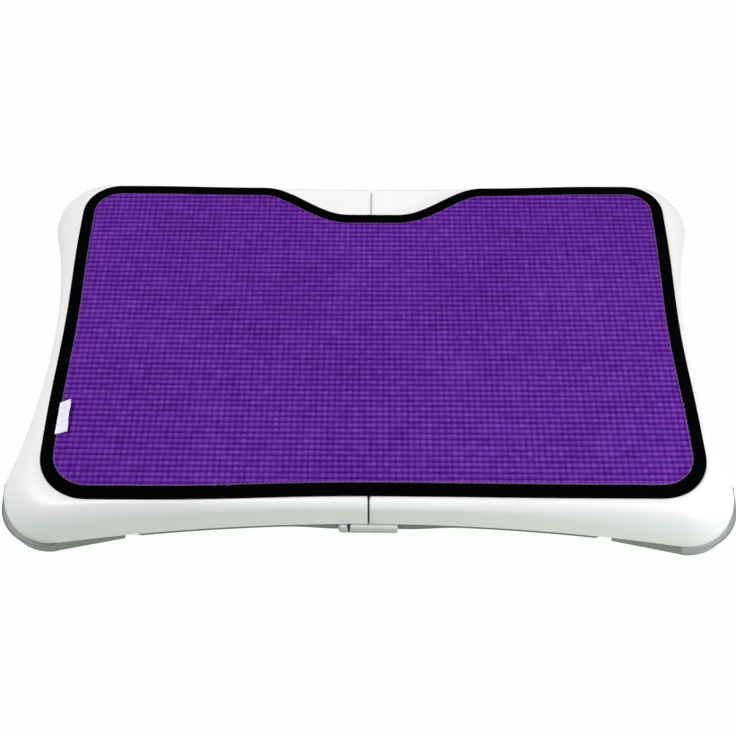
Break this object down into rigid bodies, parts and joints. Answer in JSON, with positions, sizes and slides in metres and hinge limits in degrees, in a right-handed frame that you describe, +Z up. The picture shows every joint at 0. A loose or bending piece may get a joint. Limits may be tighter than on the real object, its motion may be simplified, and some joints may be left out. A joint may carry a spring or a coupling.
{
  "type": "balance board game controller",
  "caption": "Low rectangular standing-platform controller with waisted sides, four corner feet, a front power bar, an underside battery cover and a notched textile top mat.",
  "frame": {"origin": "on the floor, under the middle of the board", "axes": "+X along the long side, to the right of the person facing the power button; +Y from the power button's side to the back; +Z up"},
  "size_m": [0.5172, 0.3193, 0.0572],
  "materials": {
    "cover_white": "fine satin moulded plastic",
    "base_white": "matt moulded plastic",
    "foot_grey": "fine-textured moulded plastic",
    "pad_rubber": "dull rubber",
    "zinc_steel": "zinc-plated sheet",
    "cell_alloy": "machined",
    "bolt_zinc": "zinc-plated",
    "bay_grey": "moulded plastic",
    "battery_sleeve": null,
    "contact_nickel": "nickel-plated",
    "pcb_green": "solder mask",
    "shield_tin": "tinned",
    "lens_grey": "translucent moulded plastic",
    "button_grey": "satin moulded plastic",
    "sync_red": "moulded plastic",
    "lead_pvc": "PVC jacket",
    "mat_purple": "waffle-woven textile",
    "binding_black": "folded edge tape",
    "tab_white": "blank woven tab"
  },
  "bodies": {
    "board": {"top_cover_left": "cover_white", "top_cover_right": "cover_white", "bottom_cover": "base_white", "chassis_plate": "zinc_steel", "chassis_rail_left": "zinc_steel", "chassis_rail_right": "zinc_steel", "battery_box": "bay_grey", "foot_front_left": "foot_grey", "foot_front_right": "foot_grey", "foot_rear_left": "foot_grey", "foot_rear_right": "foot_grey", "foot_pad_front_left": "pad_rubber", "foot_pad_front_right": "pad_rubber", "foot_pad_rear_left": "pad_rubber", "foot_pad_rear_right": "pad_rubber", "foot_bolt_front_left": "bolt_zinc", "foot_bolt_front_right": "bolt_zinc", "foot_bolt_rear_left": "bolt_zinc", "foot_bolt_rear_right": "bolt_zinc", "load_cell_front_left": "cell_alloy", "load_cell_front_right": "cell_alloy", "load_cell_rear_left": "cell_alloy", "load_cell_rear_right": "cell_alloy", "cell_bolt_front_left": "bolt_zinc", "cell_bolt_front_right": "bolt_zinc", "cell_bolt_rear_left": "bolt_zinc", "cell_bolt_rear_right": "bolt_zinc", "cover_screw_front_left": "bolt_zinc", "cover_screw_front_right": "bolt_zinc", "cover_screw_rear_left": "bolt_zinc", "cover_screw_rear_right": "bolt_zinc", "cover_screw_end_left": "bolt_zinc", "cover_screw_end_right": "bolt_zinc", "battery_cell_1": "battery_sleeve", "battery_cell_2": "battery_sleeve", "battery_cell_3": "battery_sleeve", "battery_cell_4": "battery_sleeve", "contact_strip_front": "contact_nickel", "contact_strip_rear": "contact_nickel", "main_board": "pcb_green", "board_screw_1": "bolt_zinc", "board_screw_2": "bolt_zinc", "shield_can": "shield_tin", "wireless_module": "pcb_green", "power_switch_board": "pcb_green", "led_lens": "lens_grey", "light_shield": "pad_rubber", "load_lead_front_left": "lead_pvc", "load_lead_front_right": "lead_pvc", "load_lead_rear_left": "lead_pvc", "load_lead_rear_right": "lead_pvc", "switch_lead": "lead_pvc"},
    "power_button": {"power_button": "button_grey"},
    "sync_button": {"sync_button": "sync_red"},
    "battery_cover": {"battery_cover": "base_white"},
    "mat": {"mat_pad": "mat_purple", "mat_binding": "binding_black", "mat_tab": "tab_white"}
  },
  "joints": [
    {"name": "power_button_press", "type": "slide", "parent": "board", "child": "power_button", "axis": [0, 1, 0], "range_m": [0, 0.001], "stiffness_N_per_m": 1500, "springref_m": -0.0006},
    {"name": "sync_button_press", "type": "slide", "parent": "board", "child": "sync_button", "axis": [0, 0, 1], "range_m": [0, 0.0007], "stiffness_N_per_m": 1500, "springref_m": -0.0005},
    {"name": "battery_cover_tilt", "type": "hinge", "parent": "board", "child": "battery_cover", "pos_m": [-0.09575, 0.0293, 0.0095], "axis": [1, 0, 0], "range_deg": [0, 85]},
    {"name": "mat_lift", "type": "slide", "parent": "board", "child": "mat", "axis": [0, 0, 1], "range_m": [0, 0.12]}
  ]
}
